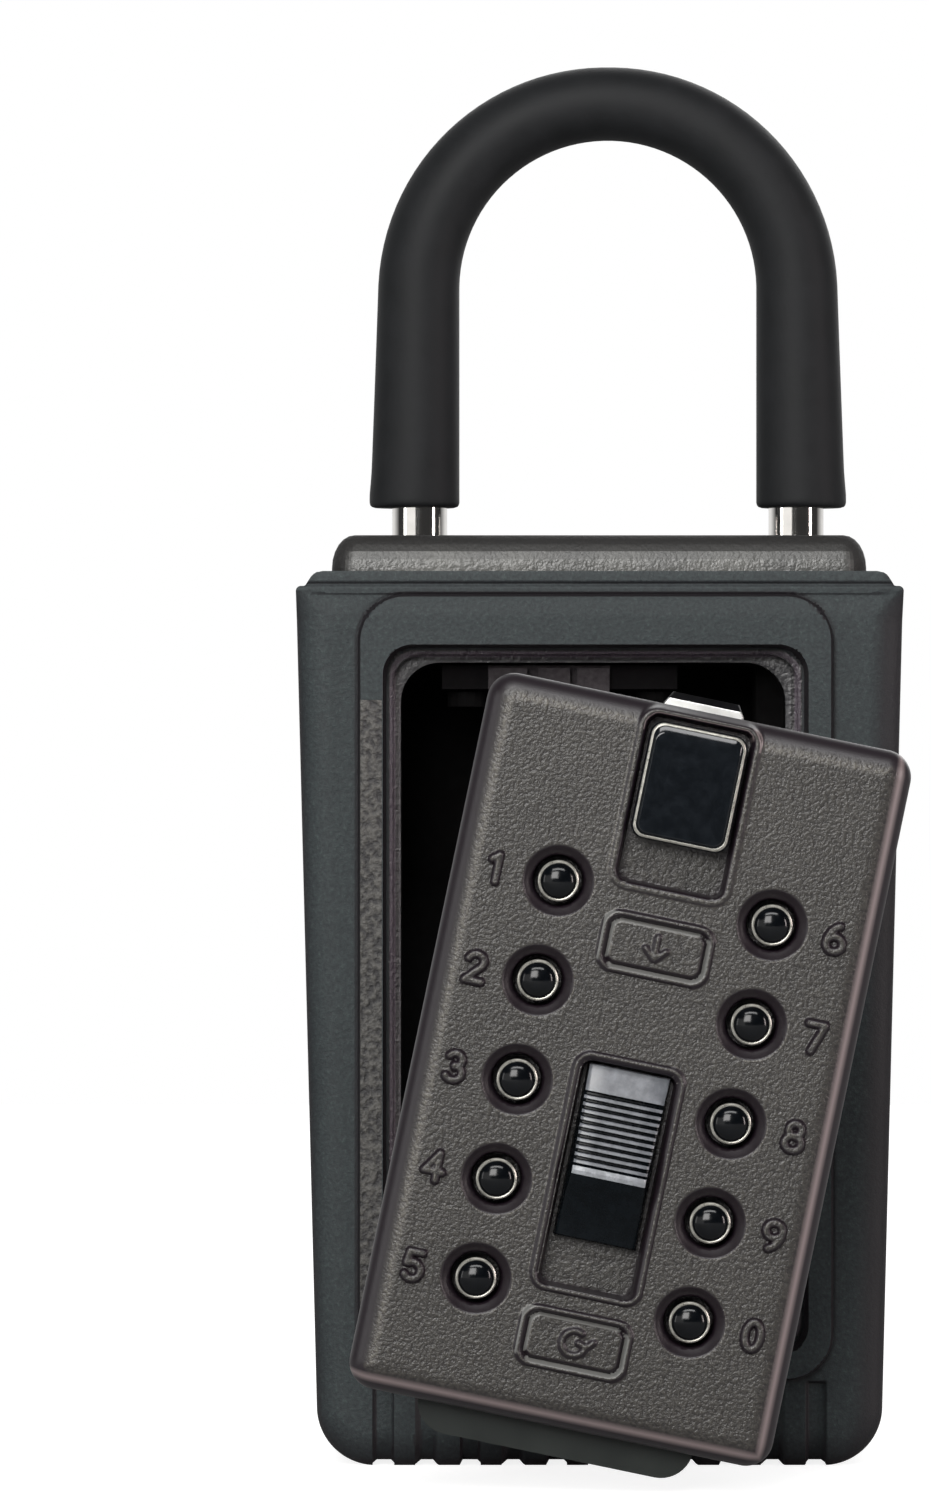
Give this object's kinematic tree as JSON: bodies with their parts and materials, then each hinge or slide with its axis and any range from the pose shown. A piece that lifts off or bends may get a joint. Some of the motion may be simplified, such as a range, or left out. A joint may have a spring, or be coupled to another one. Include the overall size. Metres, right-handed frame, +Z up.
{
  "type": "key lock box",
  "caption": "Portable push-button key lock box with a sleeved shackle, a rubber jacket and a lift-off lid with an opening latch.",
  "frame": {"origin": "hanging point: the underside of the shackle's sleeve at the top of the bow, where the box hangs on a knob or pipe", "axes": "+Z up along the shackle, +X to the right as seen from the front, and the lid side faces -Y"},
  "size_m": [0.0692, 0.0767, 0.1615],
  "materials": {
    "rubber": "fine-grained moulded rubber",
    "case_paint": "black hammered semi-gloss paint",
    "lid_paint": "warm dark grey textured paint",
    "chrome": "polished",
    "bolt_metal": "bright zinc plate",
    "vinyl": "matte black vinyl",
    "zinc": "as cast",
    "steel": "plated",
    "spring_steel": "drawn wire",
    "dark_plate": "smooth dark green-black",
    "brass": "turned",
    "gloss_black": "glossy",
    "gloss_black_slide": "glossy with a ridged ramp",
    "button_black": "glossy dome with a light ring",
    "nylon": "moulded"
  },
  "bodies": {
    "case": {"rubber_jacket": "rubber", "case_shell": "case_paint", "guide_block": "zinc", "guide_screw_1": "steel", "guide_screw_2": "steel", "stop_pin": "steel"},
    "shackle": {"shackle": "chrome", "shackle_sleeve": "vinyl"},
    "release": {"release_slide": "zinc"},
    "lid_pivot_stud": {"code_stud_3": "brass"},
    "lid": {"lid_cover": "lid_paint", "back_plate": "dark_plate", "mechanism_cover": "nylon", "latch_spring": "spring_steel", "clear_spring": "spring_steel", "cover_screw_1": "steel", "cover_screw_2": "steel", "cover_screw_3": "steel", "cover_screw_4": "steel", "button_spring_1": "spring_steel", "button_spring_2": "spring_steel", "button_spring_3": "spring_steel", "button_spring_4": "spring_steel", "button_spring_5": "spring_steel", "button_spring_6": "spring_steel", "button_spring_7": "spring_steel", "button_spring_8": "spring_steel", "button_spring_9": "spring_steel", "button_spring_0": "spring_steel"},
    "latch": {"open_knob": "gloss_black", "latch_plate": "bolt_metal"},
    "clear": {"clear_slide": "gloss_black_slide", "clear_plate": "steel"},
    "button_1": {"button_1": "button_black"},
    "button_2": {"button_2": "button_black"},
    "button_3": {"button_3": "button_black"},
    "button_4": {"button_4": "button_black"},
    "button_5": {"button_5": "button_black"},
    "button_6": {"button_6": "button_black"},
    "button_7": {"button_7": "button_black"},
    "button_8": {"button_8": "button_black"},
    "button_9": {"button_9": "button_black"},
    "button_0": {"button_0": "button_black"},
    "code_stud_1": {"code_stud_1": "brass"},
    "code_stud_2": {"code_stud_2": "brass"},
    "code_stud_4": {"code_stud_4": "brass"},
    "code_stud_5": {"code_stud_5": "brass"},
    "code_stud_6": {"code_stud_6": "brass"},
    "code_stud_7": {"code_stud_7": "brass"},
    "code_stud_8": {"code_stud_8": "brass"},
    "code_stud_9": {"code_stud_9": "brass"},
    "code_stud_0": {"code_stud_0": "brass"}
  },
  "joints": [
    {"name": "shackle_lift", "type": "slide", "parent": "case", "child": "shackle", "axis": [0, 0, 1], "range_m": [0, 0.014]},
    {"name": "release_slide", "type": "slide", "parent": "case", "child": "release", "axis": [-1, 0, 0], "range_m": [0, 0.0022]},
    {"name": "lid_offer", "type": "slide", "parent": "case", "child": "lid_pivot_stud", "axis": [-0.0905, 0.987, 0.1326], "range_m": [0, 0.03019]},
    {"name": "lid_turn", "type": "hinge", "parent": "lid_pivot_stud", "child": "lid", "pos_m": [-0.01089, -0.0511, -0.10675], "axis": [0, 1, 0], "range_deg": [-11.75, 0]},
    {"name": "latch_pull", "type": "slide", "parent": "lid", "child": "latch", "axis": [-0.2036, 0, -0.979], "range_m": [0, 0.0042], "stiffness_N_per_m": 500, "springref_m": -0.002, "deforming": ["latch_spring"]},
    {"name": "clear_pull", "type": "slide", "parent": "lid", "child": "clear", "axis": [-0.2036, 0, -0.979], "range_m": [0, 0.005], "stiffness_N_per_m": 400, "springref_m": -0.002, "deforming": ["clear_spring"]},
    {"name": "press_1", "type": "slide", "parent": "lid", "child": "button_1", "axis": [0, 1, 0], "range_m": [0, 0.0015], "stiffness_N_per_m": 300, "springref_m": -0.001, "deforming": ["button_spring_1"]},
    {"name": "press_2", "type": "slide", "parent": "lid", "child": "button_2", "axis": [0, 1, 0], "range_m": [0, 0.0015], "stiffness_N_per_m": 300, "springref_m": -0.001, "deforming": ["button_spring_2"]},
    {"name": "press_3", "type": "slide", "parent": "lid", "child": "button_3", "axis": [0, 1, 0], "range_m": [0, 0.0015], "stiffness_N_per_m": 300, "springref_m": -0.001, "deforming": ["button_spring_3"]},
    {"name": "press_4", "type": "slide", "parent": "lid", "child": "button_4", "axis": [0, 1, 0], "range_m": [0, 0.0015], "stiffness_N_per_m": 300, "springref_m": -0.001, "deforming": ["button_spring_4"]},
    {"name": "press_5", "type": "slide", "parent": "lid", "child": "button_5", "axis": [0, 1, 0], "range_m": [0, 0.0015], "stiffness_N_per_m": 300, "springref_m": -0.001, "deforming": ["button_spring_5"]},
    {"name": "press_6", "type": "slide", "parent": "lid", "child": "button_6", "axis": [0, 1, 0], "range_m": [0, 0.0015], "stiffness_N_per_m": 300, "springref_m": -0.001, "deforming": ["button_spring_6"]},
    {"name": "press_7", "type": "slide", "parent": "lid", "child": "button_7", "axis": [0, 1, 0], "range_m": [0, 0.0015], "stiffness_N_per_m": 300, "springref_m": -0.001, "deforming": ["button_spring_7"]},
    {"name": "press_8", "type": "slide", "parent": "lid", "child": "button_8", "axis": [0, 1, 0], "range_m": [0, 0.0015], "stiffness_N_per_m": 300, "springref_m": -0.001, "deforming": ["button_spring_8"]},
    {"name": "press_9", "type": "slide", "parent": "lid", "child": "button_9", "axis": [0, 1, 0], "range_m": [0, 0.0015], "stiffness_N_per_m": 300, "springref_m": -0.001, "deforming": ["button_spring_9"]},
    {"name": "press_0", "type": "slide", "parent": "lid", "child": "button_0", "axis": [0, 1, 0], "range_m": [0, 0.0015], "stiffness_N_per_m": 300, "springref_m": -0.001, "deforming": ["button_spring_0"]},
    {"name": "set_code_1", "type": "hinge", "parent": "lid", "child": "code_stud_1", "pos_m": [-0.00639, -0.0421, -0.08509], "axis": [0, 1, 0], "range_deg": [0, 180]},
    {"name": "set_code_2", "type": "hinge", "parent": "lid", "child": "code_stud_2", "pos_m": [-0.00864, -0.0421, -0.09592], "axis": [0, 1, 0], "range_deg": [0, 180]},
    {"name": "set_code_4", "type": "hinge", "parent": "lid", "child": "code_stud_4", "pos_m": [-0.01315, -0.0421, -0.11758], "axis": [0, 1, 0], "range_deg": [0, 180]},
    {"name": "set_code_5", "type": "hinge", "parent": "lid", "child": "code_stud_5", "pos_m": [-0.0154, -0.0421, -0.1284], "axis": [0, 1, 0], "range_deg": [0, 180]},
    {"name": "set_code_6", "type": "hinge", "parent": "lid", "child": "code_stud_6", "pos_m": [0.01691, -0.0421, -0.08994], "axis": [0, 1, 0], "range_deg": [0, 180]},
    {"name": "set_code_7", "type": "hinge", "parent": "lid", "child": "code_stud_7", "pos_m": [0.01466, -0.0421, -0.10077], "axis": [0, 1, 0], "range_deg": [0, 180]},
    {"name": "set_code_8", "type": "hinge", "parent": "lid", "child": "code_stud_8", "pos_m": [0.01241, -0.0421, -0.11159], "axis": [0, 1, 0], "range_deg": [0, 180]},
    {"name": "set_code_9", "type": "hinge", "parent": "lid", "child": "code_stud_9", "pos_m": [0.01016, -0.0421, -0.12242], "axis": [0, 1, 0], "range_deg": [0, 180]},
    {"name": "set_code_0", "type": "hinge", "parent": "lid", "child": "code_stud_0", "pos_m": [0.0079, -0.0421, -0.13325], "axis": [0, 1, 0], "range_deg": [0, 180]}
  ],
  "couplings": [
    {"joint": "lid_turn", "follows": "lid_offer", "rad_per_m": -6.7926}
  ]
}
